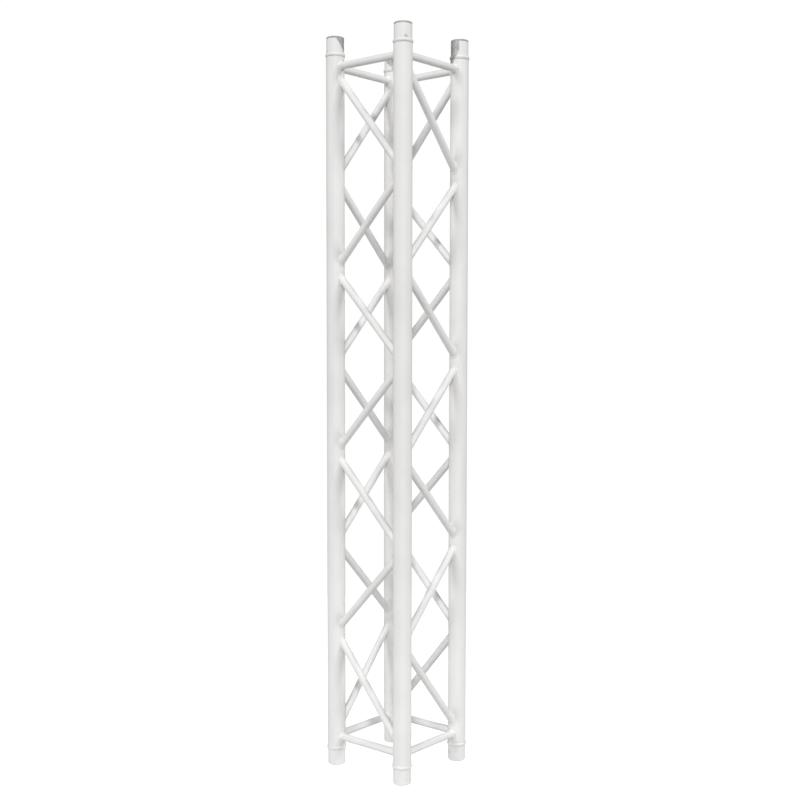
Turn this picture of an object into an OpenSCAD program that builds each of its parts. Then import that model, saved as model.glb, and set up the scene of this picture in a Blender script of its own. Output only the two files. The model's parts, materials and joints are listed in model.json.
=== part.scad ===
// Square lighting truss section: four chord tubes, zigzag lacing on every face,
// a closed frame of braces near each end and a machined coupler receiver on each chord end.
// Millimetres, +Z up along the chords, origin at the middle of the bottom rims.

/* [Section] */
// Overall length, from the bottom rims to the top rims
section_length = 2000; // [1600:10:2600]
// Distance between neighbouring chord centres
chord_spacing = 240; // [190:1:320]

/* [Chord tubes] */
// Outside diameter of a chord tube
chord_od = 50; // [40:0.5:62]
// Wall of a chord tube
chord_wall = 2; // [1.5:0.5:4]

/* [Lacing] */
// Outside diameter of a brace tube
brace_od = 20; // [14:0.5:26]
// Wall of a brace tube
brace_wall = 2; // [1:0.5:3]
// Number of diagonals on each face, always odd
diagonals_per_face = 7; // [3:2:7]
// Height between two neighbouring lacing nodes, away from the ends
node_pitch = 250; // [180:1:255]
// Distance from a chord tube's end to the axis of the end brace
end_brace_offset = 28; // [22:1:60]
// Distance from an end brace's axis to the first lacing node
end_node_offset = 12; // [11:1:60]

/* [Coupler receivers] */
// Length of the sleeve that stands beyond the chord tube
sleeve_length = 50; // [36:1:80]
// Radial step from the chord's surface down to the sleeve's
sleeve_step = 1; // [0.5:0.25:2]
// Length of the spigot inside the chord tube
spigot_length = 15; // [8:1:30]
// Wall of the sleeve at its rim
rim_wall = 4; // [3:0.25:6]
// Bevel on the rim's outer edge
rim_bevel = 1.5; // [0.5:0.25:2]
// Bevel on the rim's inner edge
mouth_bevel = 0.5; // [0.25:0.25:1]
// Radius that the tapered socket loses from its mouth to its throat
socket_taper = 2.5; // [1:0.25:4]
// Length of the straight throat, measured back from the chord tube's end
throat_length = 12; // [8:1:16]
// Radial relief behind the throat
relief_step = 1.5; // [0.5:0.25:2]
// Diameter of the cross hole for the locking pin
lock_hole_d = 12; // [6:0.5:14]
// Distance from the rim to the cross hole's axis
lock_hole_inset = 22; // [14:1:26]

/* [Ring welds] */
// Width of the weld bead along the chord
ring_weld_width = 6; // [4:0.5:9]
// Height of the bead above the chord's surface
ring_weld_rise = 1.8; // [0.5:0.1:2.5]

/* [Hidden] */
half_spacing = chord_spacing / 2;
chord_r = chord_od / 2;
chord_bore_r = chord_r - chord_wall;
brace_bore_d = brace_od - 2 * brace_wall;

end_brace_z = sleeve_length + end_brace_offset;
end_node_z = end_brace_z + end_node_offset;

sleeve_r = chord_r - sleeve_step;
mouth_r = sleeve_r - rim_wall;
throat_r = mouth_r - socket_taper;
relief_r = throat_r + relief_step;
throat_start = sleeve_length - throat_length;
receiver_length = sleeve_length + spigot_length;
spigot_bevel = 1;

ring_weld_r = (pow(ring_weld_width / 2, 2) + pow(ring_weld_rise, 2)) / (2 * ring_weld_rise);
ring_weld_centre = chord_r + ring_weld_rise - ring_weld_r;

cut_margin = 1;
coat_white = [0.93, 0.93, 0.92];
$fn = 64;

// Corners and faces run counter-clockwise from above; corner i is the left-hand chord of face i,
// as seen from outside.
corners = ["front_left", "front_right", "back_right", "back_left"];
faces = ["front", "right", "back", "left"];
ends = ["bottom", "top"];

// Height of lacing node k: the end nodes sit beside the end braces, the rest keep an even pitch
// about the middle of the section.
function node_z(k) =
    k == 0 ? section_length - end_node_z :
    k == diagonals_per_face ? end_node_z :
    section_length / 2 + node_pitch * (diagonals_per_face / 2 - k);

// Puts a child drawn on the first corner's chord axis onto chord i
module at_corner(i) {
    rotate([0, 0, 90 * i])
        translate([-half_spacing, -half_spacing, 0])
            children();
}

// Puts a child drawn for the bottom end (0) at that end, or upside down at the top end (1)
module at_end(end) {
    if (end == 0)
        children();
    else
        translate([0, 0, section_length])
            mirror([0, 0, 1])
                children();
}

// Plain tube between the two receivers' shoulders
module chord(i) {
    color(coat_white)
        at_corner(i)
            translate([0, 0, sleeve_length])
                difference() {
                    cylinder(r = chord_r, h = section_length - 2 * sleeve_length);
                    translate([0, 0, -cut_margin])
                        cylinder(r = chord_bore_r, h = section_length);
                }
}

// Turned receiver: bevelled sleeve with a tapered socket, and a spigot that fills the chord's bore
module receiver(i, end) {
    profile = [
        [sleeve_r - rim_bevel, 0],
        [sleeve_r, rim_bevel],
        [sleeve_r, sleeve_length],
        [chord_bore_r, sleeve_length],
        [chord_bore_r, receiver_length - spigot_bevel],
        [chord_bore_r - spigot_bevel, receiver_length],
        [relief_r, receiver_length],
        [relief_r, sleeve_length],
        [throat_r, sleeve_length],
        [throat_r, throat_start],
        [mouth_r, mouth_bevel],
        [mouth_r + mouth_bevel, 0]
    ];
    color(coat_white)
        at_corner(i)
            at_end(end)
                rotate([0, 0, 45])
                    difference() {
                        rotate_extrude()
                            polygon(profile);
                        translate([0, 0, lock_hole_inset])
                            rotate([0, 90, 0])
                                cylinder(d = lock_hole_d, h = chord_od);
                    }
}

// Bead that closes the joint between a receiver and its chord tube
module ring_weld() {
    rotate_extrude()
        difference() {
            translate([ring_weld_centre, sleeve_length])
                circle(r = ring_weld_r);
            square([sleeve_r, receiver_length]);
            translate([0, sleeve_length])
                square([chord_r, ring_weld_width]);
        }
}

// The four beads at one end of the section
module ring_welds(end) {
    color(coat_white)
        for (i = [0 : 3])
            at_corner(i)
                at_end(end)
                    ring_weld();
}

// Brace tube in face i, from the left-hand chord's axis to the right-hand chord's axis,
// with both ends coped to sit on the chords
module brace(i, left_z, right_z) {
    rise = right_z - left_z;
    color(coat_white)
        rotate([0, 0, 90 * i])
            difference() {
                translate([-half_spacing, -half_spacing, left_z])
                    rotate([0, atan2(chord_spacing, rise), 0])
                        difference() {
                            cylinder(d = brace_od, h = norm([chord_spacing, rise]));
                            translate([0, 0, -cut_margin])
                                cylinder(d = brace_bore_d, h = norm([chord_spacing, rise]) + 2 * cut_margin);
                        }
                for (side = [-1, 1])
                    translate([side * half_spacing, -half_spacing, min(left_z, right_z) - chord_od])
                        cylinder(r = chord_r, h = abs(rise) + 2 * chord_od);
            }
}

// Level brace that closes a face at one end
module end_brace(i, end) {
    z = end == 0 ? end_brace_z : section_length - end_brace_z;
    brace(i, z, z);
}

// Diagonal k of face i: the zigzag starts at the top of the left-hand chord
module diagonal(i, k) {
    starts_left = k % 2 == 1;
    left_z = starts_left ? node_z(k - 1) : node_z(k);
    right_z = starts_left ? node_z(k) : node_z(k - 1);
    brace(i, left_z, right_z);
}

for (i = [0 : 3]) {
    chord(i);
    for (end = [0, 1]) {
        receiver(i, end);
        end_brace(i, end);
    }
    for (k = [1 : diagonals_per_face])
        diagonal(i, k);
}
for (end = [0, 1])
    ring_welds(end);
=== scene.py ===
"""Looks of a square, powder-coated lighting truss section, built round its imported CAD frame.

Metres, +Z up along the chords, origin at the middle of the bottom rims, as in the frame.
The chords, receivers and braces stay as the frame has them and get their finishes here. The weld
beads, which the frame holds plainly or not at all, are swept along their seams by Geometry Nodes.
"""

import json
import logging
import math
from dataclasses import dataclass
from enum import Enum
from typing import Any, Dict, Iterator, List, Optional, Sequence, Tuple, Union

import bmesh
import bpy
from mathutils import Matrix, Vector

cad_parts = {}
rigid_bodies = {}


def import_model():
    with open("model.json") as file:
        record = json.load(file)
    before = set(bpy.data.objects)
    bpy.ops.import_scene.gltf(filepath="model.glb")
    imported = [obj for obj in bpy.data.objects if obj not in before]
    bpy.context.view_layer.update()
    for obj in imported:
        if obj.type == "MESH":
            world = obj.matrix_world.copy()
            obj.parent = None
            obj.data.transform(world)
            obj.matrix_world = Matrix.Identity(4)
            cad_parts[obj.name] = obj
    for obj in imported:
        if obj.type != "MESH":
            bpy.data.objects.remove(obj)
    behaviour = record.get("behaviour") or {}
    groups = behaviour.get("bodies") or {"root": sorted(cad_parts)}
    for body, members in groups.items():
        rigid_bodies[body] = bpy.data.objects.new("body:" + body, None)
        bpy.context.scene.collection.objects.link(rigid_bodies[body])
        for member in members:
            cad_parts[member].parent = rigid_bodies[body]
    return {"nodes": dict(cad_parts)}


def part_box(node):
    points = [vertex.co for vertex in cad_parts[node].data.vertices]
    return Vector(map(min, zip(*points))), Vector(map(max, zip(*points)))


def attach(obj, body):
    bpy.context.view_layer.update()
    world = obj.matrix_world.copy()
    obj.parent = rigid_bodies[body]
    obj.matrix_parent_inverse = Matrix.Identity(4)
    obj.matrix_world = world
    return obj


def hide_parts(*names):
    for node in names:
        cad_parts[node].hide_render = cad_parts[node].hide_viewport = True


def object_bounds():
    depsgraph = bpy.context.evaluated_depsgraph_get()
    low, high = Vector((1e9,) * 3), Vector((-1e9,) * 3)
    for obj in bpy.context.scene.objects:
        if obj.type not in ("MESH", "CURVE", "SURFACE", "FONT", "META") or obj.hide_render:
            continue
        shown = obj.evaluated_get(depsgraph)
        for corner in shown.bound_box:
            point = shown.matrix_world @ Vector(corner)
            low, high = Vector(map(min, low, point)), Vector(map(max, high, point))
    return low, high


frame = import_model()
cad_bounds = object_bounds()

log = logging.getLogger("truss")

MM = 0.001
CORNERS = ("front_left", "front_right", "back_right", "back_left")
FACES = ("front", "right", "back", "left")
FIRST_CORNER = math.radians(-135)
# About the mean of a noise and of the coat's clouds, and the width of a step that looks sharp
NOISE_MEAN = 0.5
CLOUD_MEAN = 0.4
SHARP = 0.01
WHITE = (1.0, 1.0, 1.0, 1.0)

Number = Union["Signal", float]
Colour = Tuple[float, float, float]
Levels = Tuple[float, float]


class End(Enum):
    """The two ends of the section."""

    BOTTOM = "bottom"
    TOP = "top"


class Slope(Enum):
    """Which way a brace runs, seen from outside its face."""

    LEVEL = 0
    FALLS_RIGHT = -1
    RISES_RIGHT = 1


# --------------------------------------------------------------------------- node trees


class Signal:
    """A number that varies over a shape. Arithmetic on it adds Math nodes to its tree."""

    def __init__(self, board: "Board", socket: bpy.types.NodeSocket) -> None:
        """Wraps an output.

        Args:
            board: The node tree's builder.
            socket: The output that carries the number.
        """
        self.board = board
        self.socket = socket

    def __add__(self, other: Number) -> "Signal":
        """self + other."""
        return self.board.math("ADD", self, other)

    def __radd__(self, other: Number) -> "Signal":
        """other + self."""
        return self.board.math("ADD", other, self)

    def __sub__(self, other: Number) -> "Signal":
        """self - other."""
        return self.board.math("SUBTRACT", self, other)

    def __rsub__(self, other: Number) -> "Signal":
        """other - self."""
        return self.board.math("SUBTRACT", other, self)

    def __mul__(self, other: Number) -> "Signal":
        """self * other."""
        return self.board.math("MULTIPLY", self, other)

    def __rmul__(self, other: Number) -> "Signal":
        """other * self."""
        return self.board.math("MULTIPLY", other, self)

    def __truediv__(self, other: Number) -> "Signal":
        """self / other."""
        return self.board.math("DIVIDE", self, other)

    def __rtruediv__(self, other: Number) -> "Signal":
        """other / self."""
        return self.board.math("DIVIDE", other, self)

    def __pow__(self, other: Number) -> "Signal":
        """self ** other, for self above zero."""
        return self.board.math("POWER", self, other)

    def __rpow__(self, other: Number) -> "Signal":
        """other ** self, for other above zero."""
        return self.board.math("POWER", other, self)

    def __neg__(self) -> "Signal":
        """-self."""
        return self.board.math("MULTIPLY", self, -1.0)

    def __abs__(self) -> "Signal":
        """The size of self."""
        return self.board.math("ABSOLUTE", self)

    def least(self, other: Number) -> "Signal":
        """The smaller of self and other."""
        return self.board.math("MINIMUM", self, other)

    def most(self, other: Number) -> "Signal":
        """The larger of self and other."""
        return self.board.math("MAXIMUM", self, other)

    def rise(self, low: Number, high: Number) -> "Signal":
        """A smooth step.

        Args:
            low: Where the step starts, at 0.
            high: Where it ends, at 1.

        Returns:
            0 below low, 1 above high.
        """
        step = self.board.node(
            "ShaderNodeMapRange",
            {"interpolation_type": "SMOOTHSTEP"},
            {"Value": self, 1: low, 2: high},
        )
        return Signal(self.board, step.outputs[0])


class Board:
    """Builds any node tree through one method for nodes and one for vector maths."""

    def __init__(self, tree: bpy.types.NodeTree) -> None:
        """Takes over a tree.

        Args:
            tree: The tree to build in.
        """
        self.tree = tree

    def node(
        self,
        kind: str,
        settings: Optional[Dict[str, Any]] = None,
        sockets: Optional[Dict[Union[str, int], Any]] = None,
    ) -> bpy.types.Node:
        """Adds a node.

        Args:
            kind: The node's type.
            settings: Its settings, which are set first; "stops" are a ramp's (place, colour) pairs.
            sockets: A value, a Signal or an output for each input, by name or number.

        Returns:
            The node.
        """
        made = self.tree.nodes.new(kind)
        for name, value in (settings or {}).items():
            if name == "stops":
                self._set_stops(made.color_ramp, value)
            else:
                setattr(made, name, value)
        for key, value in (sockets or {}).items():
            if isinstance(value, Signal):
                self.tree.links.new(value.socket, made.inputs[key])
            elif isinstance(value, bpy.types.NodeSocket):
                self.tree.links.new(value, made.inputs[key])
            else:
                made.inputs[key].default_value = value
        return made

    @staticmethod
    def _set_stops(ramp: bpy.types.ColorRamp, stops: Sequence[Tuple[float, Colour]]) -> None:
        """Gives a ramp its stops.

        Args:
            ramp: The ramp, with its two first stops.
            stops: At least two (place, colour) pairs.
        """
        while len(ramp.elements) < len(stops):
            ramp.elements.new(1.0)
        for element, (place, colour) in zip(ramp.elements, stops):
            element.position = place
            element.color = (*colour, 1.0)

    def math(self, operation: str, *values: Number) -> Signal:
        """Adds a Math node.

        Args:
            operation: The node's operation.
            values: Its one, two or three operands.

        Returns:
            The result.
        """
        made = self.node("ShaderNodeMath", {"operation": operation}, dict(enumerate(values)))
        return Signal(self, made.outputs[0])

    def vector(self, operation: str, *values: Any) -> bpy.types.NodeSocket:
        """Adds a Vector Math node with a vector result.

        Args:
            operation: The node's operation.
            values: Its vectors, or for SCALE a vector and a number.

        Returns:
            The resulting vector.
        """
        keys = (0, "Scale") if operation == "SCALE" else range(len(values))
        made = self.node("ShaderNodeVectorMath", {"operation": operation}, dict(zip(keys, values)))
        return made.outputs[0]

    def split(self, vector: bpy.types.NodeSocket) -> Tuple[Signal, Signal, Signal]:
        """The three components of a vector."""
        parts = self.node("ShaderNodeSeparateXYZ", sockets={0: vector})
        return tuple(Signal(self, output) for output in parts.outputs)


class Shader(Board):
    """One material's node tree, with the patterns that the finishes share."""

    def __init__(self, name: str) -> None:
        """Starts a material.

        Args:
            name: The material's name.
        """
        self.material = bpy.data.materials.new(name)
        self.material.use_nodes = True
        super().__init__(self.material.node_tree)
        self.tree.nodes.clear()
        self.place = self.node("ShaderNodeTexCoord").outputs["Object"]

    def noise(self, cell: float, detail: float = 2.0, stretch: Sequence[float] = (1, 1, 1)) -> Signal:
        """Soft noise from 0 to 1.

        Args:
            cell: The size of its grains, in metres.
            detail: How many finer octaves it has.
            stretch: How much the grains are squeezed along each axis.

        Returns:
            The noise.
        """
        place = self.vector("MULTIPLY", self.place, tuple(s / cell for s in stretch))
        made = self.node("ShaderNodeTexNoise", sockets={"Vector": place, "Scale": 1.0, "Detail": detail})
        return Signal(self, made.outputs["Fac"])

    def grains(self, cell: float) -> Tuple[Signal, Signal]:
        """Scattered points.

        Args:
            cell: The spacing of the points, in metres.

        Returns:
            The distance to the nearest point in cells, and a random number for that point.
        """
        place = self.vector("SCALE", self.place, 1 / cell)
        made = self.node("ShaderNodeTexVoronoi", sockets={"Vector": place, "Scale": 1.0})
        lot, _, _ = self.split(made.outputs["Color"])
        return Signal(self, made.outputs["Distance"]), lot

    def blend(self, mask: Number, first: Any, second: Any) -> bpy.types.NodeSocket:
        """Mixes two colours.

        Args:
            mask: 0 for the first colour, 1 for the second.
            first: A colour, or an output with one.
            second: A colour, or an output with one.

        Returns:
            The mixed colour.
        """
        pair = [(*c, 1.0) if isinstance(c, tuple) else c for c in (first, second)]
        made = self.node("ShaderNodeMix", {"data_type": "RGBA"}, {0: mask, 6: pair[0], 7: pair[1]})
        return made.outputs[2]

    def blend_number(self, mask: Signal, first: Number, second: Number) -> Signal:
        """first where mask is 0, second where it is 1."""
        return mask * (second - first) + first


# --------------------------------------------------------------------------- finishes


@dataclass(frozen=True)
class Layer:
    """What one finish gives at each point of a surface."""

    colour: bpy.types.NodeSocket
    roughness: Signal
    metallic: float
    height: Signal


@dataclass(frozen=True)
class PowderCoat:
    """White polyester powder coat: orange peel, faint clouds, dust nibs and light handling scuffs."""

    colour: Colour = (0.83, 0.825, 0.815)
    thin_colour: Colour = (0.775, 0.775, 0.765)
    scuff_colour: Colour = (0.66, 0.66, 0.65)
    # Dust nib colour, also used as the colour of painted shade
    nib_and_shade_colour: Colour = (0.52, 0.50, 0.47)
    roughness: float = 0.56
    roughness_spread: float = 0.14
    cloud_size: float = 0.11
    peel_size: float = 0.0021
    peel_height: float = 0.00005
    nib_spacing: float = 0.034
    nib_size: float = 0.0006
    nib_share: float = 0.4
    nib_strength: float = 0.8
    nib_fade: float = 1.6
    nib_height: float = 0.00011
    scuff_width: float = 0.0016
    scuff_length: float = 0.045
    scuff_strength: float = 0.35
    scuff_roughness: float = 0.18
    cloud_levels: Levels = (0.35, 0.75)
    scuff_levels: Levels = (0.68, 0.76)
    scuff_zone_levels: Levels = (0.52, 0.66)
    scuff_zone_size: float = 1.7

    def layer(self, shader: Shader) -> Layer:
        """Draws the coat.

        Args:
            shader: The material's tree.

        Returns:
            The coat's colour, roughness and relief.
        """
        cloud = shader.noise(self.cloud_size, detail=3.0).rise(*self.cloud_levels)
        peel = shader.noise(self.peel_size, detail=1.0)
        distance, lot = shader.grains(self.nib_spacing)
        nib_reach = self.nib_size / self.nib_spacing
        chosen = 1 - lot.rise(self.nib_share, self.nib_share + SHARP)
        nib = (1 - distance.rise(nib_reach, self.nib_fade * nib_reach)) * chosen
        streak = self.scuff_width / self.scuff_length
        scuff_field = shader.noise(self.scuff_width, detail=3.0, stretch=(1, 1, streak))
        scuff_zone = shader.noise(self.cloud_size * self.scuff_zone_size).rise(*self.scuff_zone_levels)
        scuff = scuff_field.rise(*self.scuff_levels) * scuff_zone
        colour = shader.blend(cloud, self.colour, self.thin_colour)
        colour = shader.blend(scuff * self.scuff_strength, colour, self.scuff_colour)
        colour = shader.blend(nib * self.nib_strength, colour, self.nib_and_shade_colour)
        roughness = self.roughness + self.roughness_spread * (cloud - CLOUD_MEAN)
        roughness = roughness + self.scuff_roughness * scuff
        height = (peel - NOISE_MEAN) * self.peel_height + nib * self.nib_height
        return Layer(colour, roughness, 0.0, height)


@dataclass(frozen=True)
class TurnedAluminium:
    """Bare machined aluminium: fine turning rings, dull oxide patches and small dings."""

    colour: Colour = (0.47, 0.465, 0.46)
    oxide_colour: Colour = (0.36, 0.355, 0.35)
    roughness: float = 0.55
    metallic: float = 0.6
    ring_pitch: float = 0.0006
    ring_height: float = 0.000018
    ring_roughness: float = 0.03
    wobble_size: float = 9.0
    wobble_turn: float = 4.0
    oxide_size: float = 0.012
    oxide_levels: Levels = (0.38, 0.68)
    oxide_roughness: float = 0.16
    ding_spacing: float = 0.011
    ding_depth: float = 0.00012
    ding_share: float = 0.3
    ding_size: float = 0.16

    def layer(self, shader: Shader) -> Layer:
        """Draws the metal.

        Args:
            shader: The material's tree.

        Returns:
            The metal's colour, roughness and relief.
        """
        _, _, z = shader.split(shader.place)
        wobble = shader.noise(self.ring_pitch * self.wobble_size, detail=2.0)
        rings = shader.math("SINE", z * (math.tau / self.ring_pitch) + wobble * self.wobble_turn)
        oxide = shader.noise(self.oxide_size, detail=4.0).rise(*self.oxide_levels)
        distance, lot = shader.grains(self.ding_spacing)
        chosen = 1 - lot.rise(self.ding_share, self.ding_share + 2 * SHARP)
        ding = (1 - distance.rise(0.0, self.ding_size)) * chosen
        colour = shader.blend(oxide, self.colour, self.oxide_colour)
        roughness = self.roughness + oxide * self.oxide_roughness + rings * self.ring_roughness
        height = rings * self.ring_height - ding * self.ding_depth
        return Layer(colour, roughness, self.metallic, height)


@dataclass(frozen=True)
class Finish:
    """Powder coat over aluminium, with the coat left off wherever one mask is 1 and darkened as painted
    shade where another is.
    """

    name: str
    coat: PowderCoat = PowderCoat()
    metal: TurnedAluminium = TurnedAluminium()
    edge_height: float = 0.00009
    # Extra roughness where painted shade darkens the coat
    painted_shade_roughness: float = 0.2
    ior: float = 1.48

    def material(
        self, shader: Shader, bare: Optional[Signal] = None, painted_shade: Optional[Signal] = None
    ) -> bpy.types.Material:
        """Puts the layers together.

        Args:
            shader: The material's tree.
            bare: 1 where the metal shows, or None for coat all over.
            painted_shade: 1 where the coat is darkened as painted shade, or None for none.

        Returns:
            The material.
        """
        coat = self.coat.layer(shader)
        colour, roughness, height = coat.colour, coat.roughness, coat.height
        # Painted shade: the coat's colour is pulled towards the nib colour where this mask is 1
        if painted_shade is not None:
            colour = shader.blend(painted_shade, colour, self.coat.nib_and_shade_colour)
            roughness = roughness + painted_shade * self.painted_shade_roughness
        metallic: Number = 0.0
        if bare is not None:
            metal = self.metal.layer(shader)
            colour = shader.blend(bare, colour, metal.colour)
            roughness = shader.blend_number(bare, roughness, metal.roughness)
            height = shader.blend_number(bare, height + self.edge_height, metal.height)
            metallic = bare * metal.metallic
        bump = shader.node("ShaderNodeBump", sockets={"Strength": 1.0, "Distance": 1.0, "Height": height})
        surface = shader.node(
            "ShaderNodeBsdfPrincipled",
            sockets={
                "Base Color": colour,
                "Roughness": roughness,
                "Metallic": metallic,
                "Normal": bump.outputs[0],
                "IOR": self.ior,
            },
        )
        shader.node("ShaderNodeOutputMaterial", sockets={"Surface": surface.outputs[0]})
        return shader.material


# --------------------------------------------------------------------------- layout


@dataclass(frozen=True)
class Brace:
    """One brace tube, from the left-hand chord's axis to the right-hand chord's, seen from outside."""

    face: int
    left_z: float
    right_z: float


@dataclass(frozen=True)
class Layout:
    """The section's sizes, measured on the frame's own boxes."""

    length: float
    half_spacing: float
    chord_radius: float
    brace_radius: float
    sleeve_radius: float
    sleeve_length: float
    diagonals: int

    @classmethod
    def measure(cls) -> "Layout":
        """Reads the sizes from the frame.

        Returns:
            The layout.
        """
        chord_low, chord_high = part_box("chord_front_left")
        sleeve_low, sleeve_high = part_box("receiver_top_front_left")
        end_low, end_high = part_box("front_brace_top")
        return cls(
            length=sleeve_high.z,
            half_spacing=-(chord_low.x + chord_high.x) / 2,
            chord_radius=(chord_high.x - chord_low.x) / 2,
            brace_radius=(end_high.z - end_low.z) / 2,
            sleeve_radius=(sleeve_high.x - sleeve_low.x) / 2,
            sleeve_length=chord_low.z,
            diagonals=sum(1 for name in frame["nodes"] if name.startswith("front_diagonal_")),
        )

    def rise(self, height: float) -> float:
        """How far a diagonal climbs between the chord axes.

        Its box is as tall as the climb between the chords' surfaces plus the tube cut on the slant:
        height = clear * tan(a) + 2 * brace_radius / cos(a), solved for the slope angle a.

        Args:
            height: The height of the diagonal's box.

        Returns:
            The climb, in metres.
        """
        clear = 2 * (self.half_spacing - self.chord_radius)
        slope = math.acos(2 * self.brace_radius / math.hypot(height, clear)) - math.atan2(clear, height)
        return 2 * self.half_spacing * math.tan(slope)

    def braces(self, face: int) -> Iterator[Brace]:
        """Every brace of a face.

        Args:
            face: The face's number in FACES.

        Yields:
            The end braces, then the diagonals from the top.
        """
        for end in End:
            low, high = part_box(f"{FACES[face]}_brace_{end.value}")
            yield self._brace(face, (low.z + high.z) / 2, 0.0, Slope.LEVEL)
        for k in range(1, self.diagonals + 1):
            low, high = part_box(f"{FACES[face]}_diagonal_{k}")
            slope = Slope.FALLS_RIGHT if k % 2 else Slope.RISES_RIGHT
            yield self._brace(face, (low.z + high.z) / 2, self.rise(high.z - low.z), slope)

    @staticmethod
    def _brace(face: int, middle: float, climb: float, slope: Slope) -> Brace:
        """A brace by the height of its middle and how far it climbs."""
        half = slope.value * climb / 2
        return Brace(face, middle - half, middle + half)


# --------------------------------------------------------------------------- weld beads


@dataclass(frozen=True)
class SeamPoint:
    """One point of a weld seam: its root, the way to both toes, and how the face stands proud."""

    root: Vector
    toe_a: Vector
    toe_b: Vector
    crown: Vector


@dataclass(frozen=True)
class BeadSizes:
    """How a bead is laid."""

    ripple_pitch: float
    ripple_depth: float
    chevron: float
    unevenness: float
    stop_lump: float
    stop_length: float
    face_points: int
    seed: int


class BeadTree:
    """Geometry Nodes that sweep a rippled weld bead along every seam in a mesh of closed loops."""

    SIZES = (
        ("Ripple Pitch", "NodeSocketFloat", "ripple_pitch"),
        ("Ripple Depth", "NodeSocketFloat", "ripple_depth"),
        ("Chevron", "NodeSocketFloat", "chevron"),
        ("Unevenness", "NodeSocketFloat", "unevenness"),
        ("Stop Lump", "NodeSocketFloat", "stop_lump"),
        ("Stop Length", "NodeSocketFloat", "stop_length"),
        ("Face Points", "NodeSocketInt", "face_points"),
        ("Seed", "NodeSocketInt", "seed"),
    )

    VECTORS = ("root", "toe_a", "toe_b", "crown")
    CARRIED = VECTORS + ("along", "joint")
    SCALLOP_POWER = 0.6
    SCALLOP_MEAN = 0.7
    JOINT_STRIDE = 1000

    def __init__(self) -> None:
        """Builds the tree."""
        self.tree = bpy.data.node_groups.new("weld_bead", "GeometryNodeTree")
        self.ids: Dict[str, str] = {}
        face = self.tree.interface
        face.new_socket("Seams", in_out="INPUT", socket_type="NodeSocketGeometry")
        for name, kind, _ in self.SIZES:
            self.ids[name] = face.new_socket(name, in_out="INPUT", socket_type=kind).identifier
        self.ids["Material"] = face.new_socket(
            "Material", in_out="INPUT", socket_type="NodeSocketMaterial"
        ).identifier
        face.new_socket("Bead", in_out="OUTPUT", socket_type="NodeSocketGeometry")
        self._build(Board(self.tree))

    @staticmethod
    def _stored(board: Board, name: str, kind: str = "FLOAT_VECTOR") -> bpy.types.NodeSocket:
        """The output that reads a stored attribute."""
        return board.node("GeometryNodeInputNamedAttribute", {"data_type": kind}, {"Name": name}).outputs[0]

    def _build(self, board: Board) -> None:
        """Fills the tree.

        Args:
            board: The tree's builder.
        """
        given = board.node("NodeGroupInput")
        sizes = {name: Signal(board, given.outputs[name]) for name, _, _ in self.SIZES}

        seams = board.node("GeometryNodeMeshToCurve", sockets={"Mesh": given.outputs["Seams"]})
        length = Signal(board, board.node("GeometryNodeSplineLength").outputs["Length"])
        along = Signal(board, self._stored(board, "along", "FLOAT"))
        count = board.math("ROUND", length / sizes["Ripple Pitch"])
        path = board.node("GeometryNodeCaptureAttribute")
        path.capture_items.new("FLOAT", "Phase")
        path.capture_items.new("FLOAT", "From Stop")
        board.tree.links.new(seams.outputs[0], path.inputs[0])
        board.tree.links.new((along * count).socket, path.inputs["Phase"])
        board.tree.links.new((along.least(1 - along) * length).socket, path.inputs["From Stop"])

        slice_curve = board.node(
            "GeometryNodeCurveArc",
            sockets={
                "Resolution": sizes["Face Points"],
                "Radius": 1.0,
                "Start Angle": 0.0,
                "Sweep Angle": math.pi / 2,
                "Connect Center": True,
            },
        )
        profile = board.node("GeometryNodeCaptureAttribute")
        profile.capture_items.new("VECTOR", "Share")
        board.tree.links.new(slice_curve.outputs[0], profile.inputs[0])
        board.tree.links.new(board.node("GeometryNodeInputPosition").outputs[0], profile.inputs["Share"])
        swept = board.node(
            "GeometryNodeCurveToMesh",
            sockets={"Curve": path.outputs[0], "Profile Curve": profile.outputs[0]},
        )

        share_a, share_b, _ = board.split(profile.outputs["Share"])
        crest = share_a * share_b * 2
        phase = Signal(board, path.outputs["Phase"]) - sizes["Chevron"] * (1 - crest)
        ripple_number = board.math("FLOOR", phase)
        joint = Signal(board, self._stored(board, "joint", "INT"))
        lot = board.node(
            "FunctionNodeRandomValue",
            {"data_type": "FLOAT"},
            {2: -1.0, 3: 1.0, "ID": ripple_number + joint * self.JOINT_STRIDE, "Seed": sizes["Seed"]},
        )
        luck = Signal(board, lot.outputs[1])
        scallop = abs(board.math("SINE", phase * math.pi)) ** self.SCALLOP_POWER
        from_stop = Signal(board, path.outputs["From Stop"]) / sizes["Stop Length"]
        lump = board.math("EXPONENT", -(from_stop * from_stop)) * sizes["Stop Lump"]
        proud = (scallop - self.SCALLOP_MEAN) * sizes["Ripple Depth"] + luck * sizes["Unevenness"] + lump

        toe_a, toe_b = self._stored(board, "toe_a"), self._stored(board, "toe_b")
        outward = board.vector("NORMALIZE", board.vector("ADD", toe_a, toe_b))
        place = board.vector("ADD", self._stored(board, "root"), board.vector("SCALE", toe_a, share_a))
        place = board.vector("ADD", place, board.vector("SCALE", toe_b, share_b))
        place = board.vector("ADD", place, board.vector("SCALE", self._stored(board, "crown"), crest))
        place = board.vector("ADD", place, board.vector("SCALE", outward, proud * crest))
        shaped = board.node(
            "GeometryNodeSetPosition", sockets={"Geometry": swept.outputs[0], "Position": place}
        )
        smooth = board.node("GeometryNodeSetShadeSmooth", sockets={"Geometry": shaped.outputs[0]})
        whole = board.node("GeometryNodeRealizeInstances", sockets={"Geometry": smooth.outputs[0]})
        dressed = board.node(
            "GeometryNodeSetMaterial",
            sockets={"Geometry": whole.outputs[0], "Material": given.outputs["Material"]},
        )
        board.node("NodeGroupOutput", sockets={"Bead": dressed.outputs[0]})

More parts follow.
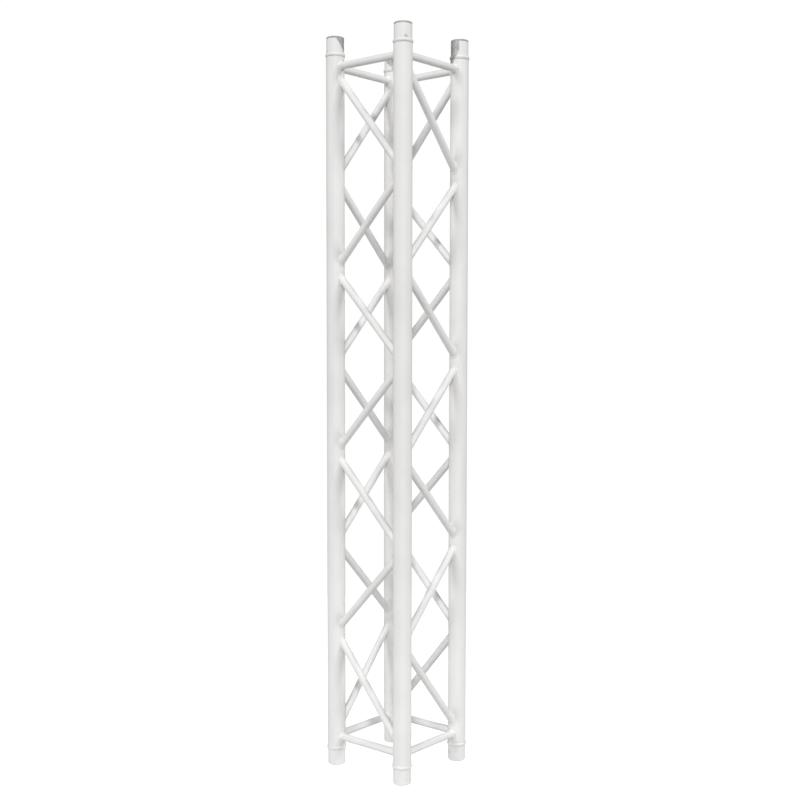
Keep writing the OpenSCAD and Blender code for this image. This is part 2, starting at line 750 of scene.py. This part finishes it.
    def lay(
        self, name: str, seams: Sequence[Sequence[SeamPoint]], sizes: BeadSizes, finish: bpy.types.Material
    ) -> bpy.types.Object:
        """Sweeps beads along seams and turns them into one plain mesh.

        Args:
            name: The piece's name.
            seams: Closed loops of seam points.
            sizes: How the beads are laid.
            finish: Their material.

        Returns:
            The piece, at the origin and with no modifiers.
        """
        source = self._seam_object(name + "_seams", seams)
        modifier = source.modifiers.new("bead", "NODES")
        modifier.node_group = self.tree
        for label, _, field_name in self.SIZES:
            modifier[self.ids[label]] = getattr(sizes, field_name)
        modifier[self.ids["Material"]] = finish
        bpy.context.view_layer.update()
        swept = source.evaluated_get(bpy.context.evaluated_depsgraph_get())
        mesh = bpy.data.meshes.new_from_object(swept)
        seam_mesh = source.data
        bpy.data.objects.remove(source)
        bpy.data.meshes.remove(seam_mesh)
        for carried in [a.name for a in mesh.attributes if a.name in self.CARRIED]:
            mesh.attributes.remove(mesh.attributes[carried])
        self._face_outwards(mesh)
        piece = bpy.data.objects.new(name, mesh)
        bpy.context.scene.collection.objects.link(piece)
        return piece

    @classmethod
    def _seam_object(cls, name: str, seams: Sequence[Sequence[SeamPoint]]) -> bpy.types.Object:
        """A mesh of closed loops that carries every seam point's vectors.

        Args:
            name: The object's name.
            seams: Closed loops of seam points.

        Returns:
            The object, linked to the scene.
        """
        points: List[SeamPoint] = [point for seam in seams for point in seam]
        edges, along, joint = [], [], []
        for number, seam in enumerate(seams):
            first = len(along)
            edges += [(first + i, first + (i + 1) % len(seam)) for i in range(len(seam))]
            along += [i / len(seam) for i in range(len(seam))]
            joint += [number] * len(seam)
        mesh = bpy.data.meshes.new(name)
        mesh.from_pydata([point.root for point in points], edges, [])
        for field_name in cls.VECTORS:
            stored = mesh.attributes.new(field_name, "FLOAT_VECTOR", "POINT")
            stored.data.foreach_set("vector", [x for point in points for x in getattr(point, field_name)])
        mesh.attributes.new("along", "FLOAT", "POINT").data.foreach_set("value", along)
        mesh.attributes.new("joint", "INT", "POINT").data.foreach_set("value", joint)
        made = bpy.data.objects.new(name, mesh)
        bpy.context.scene.collection.objects.link(made)
        return made

    @staticmethod
    def _face_outwards(mesh: bpy.types.Mesh) -> None:
        """Turns every face of the closed beads outwards.

        Args:
            mesh: The beads.
        """
        shell = bmesh.new()
        shell.from_mesh(mesh)
        bmesh.ops.recalc_face_normals(shell, faces=shell.faces)
        shell.to_mesh(mesh)
        shell.free()


def onto_tube(point: Vector, start: Vector, direction: Vector, radius: float) -> Vector:
    """Moves a point straight in or out to a tube's surface.

    Args:
        point: The point.
        start: A point on the tube's axis.
        direction: The axis's unit direction.
        radius: The surface's radius.

    Returns:
        The moved point.
    """
    foot = start + direction * (point - start).dot(direction)
    return foot + (point - foot).normalized() * radius


@dataclass(frozen=True)
class BraceWelds:
    """The fillet beads round both ends of every brace."""

    layout: Layout
    leg: float = 3.4 * MM
    toe_sink: float = 0.15 * MM
    root_sink: float = 0.6 * MM
    flattening: float = 0.09
    points: int = 150
    sizes: BeadSizes = BeadSizes(
        ripple_pitch=1.9 * MM,
        ripple_depth=0.42 * MM,
        chevron=0.75,
        unevenness=0.09 * MM,
        stop_lump=0.45 * MM,
        stop_length=2.6 * MM,
        face_points=7,
        seed=7,
    )

    def build(self, beads: BeadTree, finish: bpy.types.Material) -> List[bpy.types.Object]:
        """Lays the beads.

        Args:
            beads: The sweeping tree.
            finish: The beads' material.

        Returns:
            One piece for each face.
        """
        pieces = []
        for face, face_name in enumerate(FACES):
            seams = [
                self._seam(brace, side)
                for brace in self.layout.braces(face)
                for side in (-1, 1)
            ]
            piece = beads.lay(f"{face_name}_brace_welds", seams, self.sizes, finish)
            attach(piece, "root")
            log.info("%s: %d beads, %d faces", piece.name, len(seams), len(piece.data.polygons))
            pieces.append(piece)
        return pieces

    def _seam(self, brace: Brace, side: int) -> List[SeamPoint]:
        """The seam where a brace meets a chord.

        Args:
            brace: The brace.
            side: -1 for its left-hand end, seen from outside, or 1 for its right-hand end.

        Returns:
            The closed loop of seam points, from the side that faces away from the section.
        """
        turn = Matrix.Rotation(math.pi / 2 * brace.face, 3, "Z")
        half = self.layout.half_spacing
        z = brace.left_z if side < 0 else brace.right_z
        start = turn @ Vector((side * half, -half, z))
        inward = turn @ Vector((-side, 0, 0))
        outward = turn @ Vector((0, -1, 0))
        climb = (brace.right_z - brace.left_z) * -side
        direction = (inward * 2 * half + Vector((0, 0, climb))).normalized()
        across = outward.cross(direction)
        if across.z < 0:
            across = -across
        chord_axis = Vector((0, 0, 1))
        big, small = self.layout.chord_radius, self.layout.brace_radius
        run, slant = direction.dot(inward), across.dot(inward)
        loop = []
        for i in range(self.points):
            angle = math.tau * i / self.points
            spoke = outward * math.cos(angle) + across * math.sin(angle)
            depth = math.sqrt(big**2 - (small * math.cos(angle)) ** 2)
            reach = (depth - small * slant * math.sin(angle)) / run
            point = start + direction * reach + spoke * small
            chord_normal = (point - start - chord_axis * (point - start).z).normalized()
            tangent = chord_normal.cross(spoke).normalized()
            on_chord, on_brace = tangent.cross(chord_normal), tangent.cross(spoke)
            on_chord *= math.copysign(1, on_chord.dot(spoke))
            on_brace *= math.copysign(1, on_brace.dot(chord_normal))
            toe_a = onto_tube(point + on_chord * self.leg, start, chord_axis, big - self.toe_sink)
            toe_b = onto_tube(point + on_brace * self.leg, start, direction, small - self.toe_sink)
            root = point - (chord_normal + spoke).normalized() * self.root_sink
            crown = (toe_a + toe_b - 2 * root) * -self.flattening
            loop.append(SeamPoint(root, toe_a - root, toe_b - root, crown))
        return loop


@dataclass(frozen=True)
class RingWelds:
    """The ring beads between the receivers and the chord tubes."""

    layout: Layout
    sleeve_reach: float = 7.6 * MM
    chord_reach: float = 2.8 * MM
    rise: float = 2.0 * MM
    toe_sink: float = 0.1 * MM
    root_sink: float = 1.4 * MM
    points: int = 360
    start_turn: float = math.radians(9)
    sizes: BeadSizes = BeadSizes(
        ripple_pitch=2.2 * MM,
        ripple_depth=0.40 * MM,
        chevron=0.9,
        unevenness=0.07 * MM,
        stop_lump=0.25 * MM,
        stop_length=4.0 * MM,
        face_points=8,
        seed=3,
    )

    def build(self, beads: BeadTree, finish: bpy.types.Material) -> List[bpy.types.Object]:
        """Lays the beads and hides the frame's plain ones.

        Args:
            beads: The sweeping tree.
            finish: The beads' material.

        Returns:
            One piece for each end.
        """
        pieces = []
        for end in End:
            seams = [self._seam(corner, end) for corner in range(len(CORNERS))]
            piece = beads.lay(f"{end.value}_ring_beads", seams, self.sizes, finish)
            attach(piece, "root")
            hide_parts(f"ring_welds_{end.value}")
            log.info("%s: %d beads, %d faces", piece.name, len(seams), len(piece.data.polygons))
            pieces.append(piece)
        return pieces

    def _seam(self, corner: int, end: End) -> List[SeamPoint]:
        """One ring seam.

        Args:
            corner: The corner's number in CORNERS.
            end: The end of the section.

        Returns:
            The closed loop of seam points, from where the welder started.
        """
        layout = self.layout
        outward_angle = FIRST_CORNER + math.pi / 2 * corner
        half = layout.half_spacing
        centre = Vector((0, 0, 0))
        centre.x = math.copysign(half, math.cos(outward_angle))
        centre.y = math.copysign(half, math.sin(outward_angle))
        towards_chord = Vector((0, 0, 1 if end is End.BOTTOM else -1))
        centre.z = layout.sleeve_length if end is End.BOTTOM else layout.length - layout.sleeve_length
        loop = []
        for i in range(self.points):
            angle = outward_angle + self.start_turn + math.tau * i / self.points
            spoke = Vector((math.cos(angle), math.sin(angle), 0))
            root = centre + spoke * (layout.chord_radius - self.root_sink)
            sleeve_toe = spoke * (layout.sleeve_radius - self.toe_sink) - towards_chord * self.sleeve_reach
            chord_toe = spoke * (layout.chord_radius - self.toe_sink) + towards_chord * self.chord_reach
            on_sleeve, on_chord = centre + sleeve_toe, centre + chord_toe
            middle = root + (on_sleeve + on_chord - 2 * root) * math.sqrt(0.5)
            crest = centre + spoke * (layout.chord_radius + self.rise)
            crown = spoke * (crest - middle).dot(spoke)
            loop.append(SeamPoint(root, on_sleeve - root, on_chord - root, crown))
        return loop


# --------------------------------------------------------------------------- coated parts


@dataclass(frozen=True)
class CornerPlace:
    """Where a point lies about its nearest chord, with the four corners folded onto one."""

    inward: Signal
    tangential: Signal
    radius: Signal
    from_end: Signal
    top: Signal
    back_right: Signal

    SEAM = 0.01

    @classmethod
    def of(cls, shader: Shader, layout: Layout) -> "CornerPlace":
        """Works it out from Object coordinates.

        Args:
            shader: The material's tree.
            layout: The section's sizes.

        Returns:
            The place.
        """
        x, y, z = shader.split(shader.place)
        across, deep = abs(x) - layout.half_spacing, abs(y) - layout.half_spacing
        inward = (across + deep) * -math.sqrt(0.5)
        tangential = (x * y / (layout.half_spacing**2)) * (across - deep) * math.sqrt(0.5)
        radius = shader.math("SQRT", across * across + deep * deep)
        from_end = z.least(layout.length - z)
        top = z.rise(layout.length / 2 - cls.SEAM, layout.length / 2 + cls.SEAM)
        back_right = x.rise(-cls.SEAM, cls.SEAM) * y.rise(-cls.SEAM, cls.SEAM)
        return cls(inward, tangential, radius, from_end, top, back_right)


@dataclass(frozen=True)
class InwardGreyPatch:
    """Grey bare-aluminium patches on the sides of the top ends that face into the section, largest at back
    right.
    """

    depth: float = 6 * MM
    slant: float = 36 * MM
    curve: float = 1.3
    side: float = -0.2
    deep_side: float = 0.04
    side_fade: float = 0.3
    deep_depth: float = 26 * MM
    deep_slant: float = 44 * MM
    wander: float = 3.5 * MM
    wander_grain: float = 0.009
    softness: float = 2.5 * MM
    deep_softness: float = 9 * MM

    def mask(self, shader: Shader, place: CornerPlace, layout: Layout) -> Signal:
        """Where the grey patch lies.

        Its edge runs further from the rim the more a point faces into the section.

        Args:
            shader: The material's tree.
            place: Where the point lies.
            layout: The section's sizes.

        Returns:
            1 inside the patch.
        """
        facing = place.inward / layout.sleeve_radius
        deep = place.back_right
        start = shader.blend_number(deep, self.depth, self.deep_depth)
        slant = shader.blend_number(deep, self.slant, self.deep_slant)
        softness = shader.blend_number(deep, self.softness, self.deep_softness)
        ragged = (shader.noise(self.wander_grain, detail=3.0) - NOISE_MEAN) * (2 * self.wander)
        gap = facing.most(0.0) ** self.curve * slant + start + ragged - place.from_end
        side = facing - shader.blend_number(deep, self.side, self.deep_side)
        return gap.rise(-softness, softness) * side.rise(0.0, self.side_fade) * place.top


@dataclass(frozen=True)
class PaintedPitShade:
    """Painted shade of a small pit on each top sleeve, just short of the ring weld: a dark, rougher spot
    with no recess in the shape.
    """

    turn: float = math.radians(17)
    from_end: float = 39.5 * MM
    size: float = 8.0 * MM
    grain: float = 0.002
    size_least: float = 0.7
    size_spread: float = 0.6
    width: float = 0.7
    core: float = 0.35
    outer_limit: float = -0.4
    strength: float = 0.8

    def mask(self, shader: Shader, place: CornerPlace, layout: Layout) -> Signal:
        """Where the painted pit shade lies.

        Args:
            shader: The material's tree.
            place: Where the point lies.
            layout: The section's sizes.

        Returns:
            Up to the pit's strength inside it, 0 elsewhere.
        """
        side = place.tangential + layout.sleeve_radius * math.sin(self.turn)
        up = place.from_end - self.from_end
        ragged = shader.noise(self.grain, detail=2.0) * self.size_spread + self.size_least
        distance = shader.math("SQRT", side * side * self.width + up * up) * ragged / self.size
        outer = 1 - place.inward.rise(self.outer_limit * layout.sleeve_radius, 0.0)
        return (1 - distance.rise(self.core, 1.0)) * outer * place.top * self.strength


@dataclass(frozen=True)
class Receivers:
    """The eight turned receivers: coated sleeves with bare rims, sockets and holes."""

    layout: Layout
    finish: Finish = Finish("receiver_finish")
    inward_patch: InwardGreyPatch = InwardGreyPatch()
    top_band: float = 5.2 * MM
    bottom_band: float = 1.2 * MM
    edge_wander: float = 0.9 * MM
    edge_grain: float = 0.006
    edge_softness: float = 0.3 * MM
    skin: float = 0.9 * MM
    pit_shade: PaintedPitShade = PaintedPitShade()

    def dress(self) -> None:
        """Gives the receivers their finish."""
        shader = Shader(self.finish.name)
        place = CornerPlace.of(shader, self.layout)
        ragged = (shader.noise(self.edge_grain, detail=3.0) - NOISE_MEAN) * (2 * self.edge_wander)
        height = place.from_end + ragged
        band_width = place.top * (self.top_band - self.bottom_band) + self.bottom_band
        band = 1 - (height - band_width).rise(-self.edge_softness, self.edge_softness)
        limit = self.layout.sleeve_radius - self.skin
        inside = 1 - place.radius.rise(limit, limit + self.skin / 2)
        # Painted shade of the stop pit, darkening the coat's colour
        pit_shade = self.pit_shade.mask(shader, place, self.layout)
        bare = band.most(inside).most(self.inward_patch.mask(shader, place, self.layout))
        dress_nodes("receiver_", self.finish.material(shader, bare=bare, painted_shade=pit_shade))


@dataclass(frozen=True)
class Chords:
    """The four chord tubes: coated outside, bare inside."""

    layout: Layout
    finish: Finish = Finish("chord_finish")
    inward_patch: InwardGreyPatch = InwardGreyPatch()
    skin: float = 1.0 * MM
    # Painted shade: a dark band on the chord just below each top ring weld
    painted_shade_start: float = 3.2 * MM
    painted_shade_width: float = 2.2 * MM
    painted_shade_strength: float = 0.3

    def dress(self) -> None:
        """Gives the chords their finish, with painted shade along the lower toe of the top ring welds."""
        shader = Shader(self.finish.name)
        place = CornerPlace.of(shader, self.layout)
        limit = self.layout.chord_radius - self.skin
        inside = 1 - place.radius.rise(limit, limit + self.skin / 2)
        bare = inside.most(self.inward_patch.mask(shader, place, self.layout))
        # Painted shade under the top ring beads, only at the top end
        past_toe = place.from_end - (self.layout.sleeve_length + self.painted_shade_start)
        painted_shade = (1 - past_toe.rise(0.0, self.painted_shade_width)) * place.top * self.painted_shade_strength
        dress_nodes("chord_", self.finish.material(shader, bare=bare, painted_shade=painted_shade))


@dataclass(frozen=True)
class Lacing:
    """The end braces and diagonals."""

    finish: Finish = Finish("brace_finish", coat=PowderCoat(cloud_size=0.07, nib_spacing=0.028))

    def dress(self) -> None:
        """Gives the braces their finish."""
        shader = Shader(self.finish.name)
        material = self.finish.material(shader)
        for face in FACES:
            dress_nodes(face + "_", material)


def dress_nodes(prefix: str, material: bpy.types.Material) -> None:
    """Gives the frame's nodes a material.

    Args:
        prefix: What the nodes' names start with.
        material: The material.
    """
    for name, node in sorted(frame["nodes"].items()):
        if name.startswith(prefix):
            node.data.materials.clear()
            node.data.materials.append(material)
            log.info("%s: %s", name, material.name)


def weld_material(layout: Layout) -> bpy.types.Material:
    """The coat over the weld beads, with the same grey inward patches as the sleeves beside them.

    Args:
        layout: The section's sizes.

    Returns:
        The material.
    """
    finish = Finish("weld_finish", coat=PowderCoat(cloud_size=0.03, scuff_length=0.01))
    shader = Shader(finish.name)
    place = CornerPlace.of(shader, layout)
    return finish.material(shader, bare=InwardGreyPatch().mask(shader, place, layout))


# --------------------------------------------------------------------------- studio


@dataclass(frozen=True)
class SoftBox:
    """A square soft light that points at the section; its angles are in degrees."""

    name: str
    azimuth: float
    elevation: float
    distance: float
    size: float
    watts: float

    def place(self, target: Vector) -> None:
        """Hangs the light.

        Args:
            target: What it points at.
        """
        data = bpy.data.lights.new(self.name, "AREA")
        data.shape = "SQUARE"
        data.size = self.size
        data.energy = self.watts
        lamp = bpy.data.objects.new(self.name, data)
        turn, lift = math.radians(self.azimuth), math.radians(self.elevation)
        back = Vector((math.cos(turn) * math.cos(lift), math.sin(turn) * math.cos(lift), math.sin(lift)))
        lamp.location = target + back * self.distance
        lamp.rotation_mode = "QUATERNION"
        lamp.rotation_quaternion = (-back).to_track_quat("-Z", "Y")
        bpy.context.scene.collection.objects.link(lamp)
        log.info("light %s", self.name)


@dataclass(frozen=True)
class Studio:
    """Pale floor, soft lights and the camera."""

    floor_radius: float = 2.2
    floor_colour: Colour = (0.62, 0.62, 0.62)
    floor_glow: float = 0.14
    floor_seen: float = 0.76
    floor_roughness: float = 0.7
    floor_cloud_size: float = 0.5
    floor_cloud_shade: float = 0.98
    floor_segments: int = 96
    sky_light: float = 0.235
    sky_seen: float = 1.02
    camera_place: Tuple[float, float, float] = (2.1028, -2.4731, 1.1850)
    camera_heading: float = math.radians(129.835)
    camera_pitch: float = math.radians(-3.68)
    camera_roll: float = 0.0017
    lens: float = 52.79
    sensor_width: float = 36.0
    shift: Tuple[float, float] = (-0.0104, 0.0194)
    soft_boxes: Tuple[SoftBox, ...] = (
        SoftBox("key", -49.9, 34.0, 14.0, 1.3, 800.0),
        SoftBox("left_key", -108.0, 31.0, 14.0, 3.0, 730.0),
        SoftBox("right_key", 17.0, 31.0, 14.0, 3.0, 770.0),
    )

    def build(self) -> None:
        """Sets everything up."""
        scene = bpy.context.scene
        scene.view_settings.view_transform = "Standard"
        low, high = cad_bounds
        target = (low + high) / 2
        for box in self.soft_boxes:
            box.place(target)
        self._sky(scene)
        self._floor()
        self._camera(scene)

    def _sky(self, scene: bpy.types.Scene) -> None:
        """An even white sky, brighter to look at than it is as a lamp.

        Args:
            scene: The scene that gets it.
        """
        world = bpy.data.worlds.new("studio_sky")
        world.use_nodes = True
        board = Board(world.node_tree)
        board.tree.nodes.clear()
        seen = board.node("ShaderNodeLightPath").outputs["Is Camera Ray"]
        lamp, view = (
            board.node("ShaderNodeBackground", sockets={"Color": WHITE, "Strength": strength}).outputs[0]
            for strength in (self.sky_light, self.sky_seen)
        )
        mixed = board.node("ShaderNodeMixShader", sockets={0: seen, 1: lamp, 2: view})
        board.node("ShaderNodeOutputWorld", sockets={"Surface": mixed.outputs[0]})
        scene.world = world

    def _floor(self) -> None:
        """A pale disc under the section, brighter to look at than it is as a lamp."""
        disc = bmesh.new()
        bmesh.ops.create_circle(
            disc, cap_ends=True, radius=self.floor_radius, segments=self.floor_segments
        )
        mesh = bpy.data.meshes.new("floor")
        disc.to_mesh(mesh)
        disc.free()
        floor = bpy.data.objects.new("floor", mesh)
        bpy.context.scene.collection.objects.link(floor)
        shader = Shader("floor_finish")
        cloud = shader.noise(self.floor_cloud_size, detail=3.0)
        shade = tuple(self.floor_cloud_shade * c for c in self.floor_colour)
        pale = shader.blend(cloud, self.floor_colour, shade)
        seen = Signal(shader, shader.node("ShaderNodeLightPath").outputs["Is Camera Ray"])
        glow = shader.blend(seen, (self.floor_glow,) * 3, (self.floor_seen,) * 3)
        surface = shader.node(
            "ShaderNodeBsdfPrincipled",
            sockets={
                "Base Color": pale,
                "Roughness": self.floor_roughness,
                "Emission Color": glow,
                "Emission Strength": 1.0,
            },
        )
        shader.node("ShaderNodeOutputMaterial", sockets={"Surface": surface.outputs[0]})
        floor.data.materials.append(shader.material)
        log.info("floor")

    def _camera(self, scene: bpy.types.Scene) -> None:
        """The camera, a little above half the section's height and looking slightly down.

        Args:
            scene: The scene that gets it.
        """
        data = bpy.data.cameras.new("camera")
        data.sensor_width = self.sensor_width
        data.lens = self.lens
        data.shift_x, data.shift_y = self.shift
        data.dof.use_dof = False
        camera = bpy.data.objects.new("camera", data)
        camera.location = self.camera_place
        turn, pitch = self.camera_heading, self.camera_pitch
        ahead = Vector((math.cos(turn), math.sin(turn), math.tan(pitch)))
        camera.rotation_mode = "QUATERNION"
        roll = Matrix.Rotation(self.camera_roll, 3, "Z").to_quaternion()
        camera.rotation_quaternion = ahead.to_track_quat("-Z", "Y") @ roll
        scene.collection.objects.link(camera)
        scene.camera = camera
        log.info("camera")


# --------------------------------------------------------------------------- the whole


def main() -> None:
    """Builds and dresses the section in order."""
    logging.basicConfig(level=logging.INFO, format="%(name)s: %(message)s")
    layout = Layout.measure()
    log.info("layout %s", layout)
    Studio().build()
    Chords(layout).dress()
    Receivers(layout).dress()
    Lacing().dress()
    bead_coat = weld_material(layout)
    beads = BeadTree()
    BraceWelds(layout).build(beads, bead_coat)
    RingWelds(layout).build(beads, bead_coat)


if __name__ == "__main__":
    main()
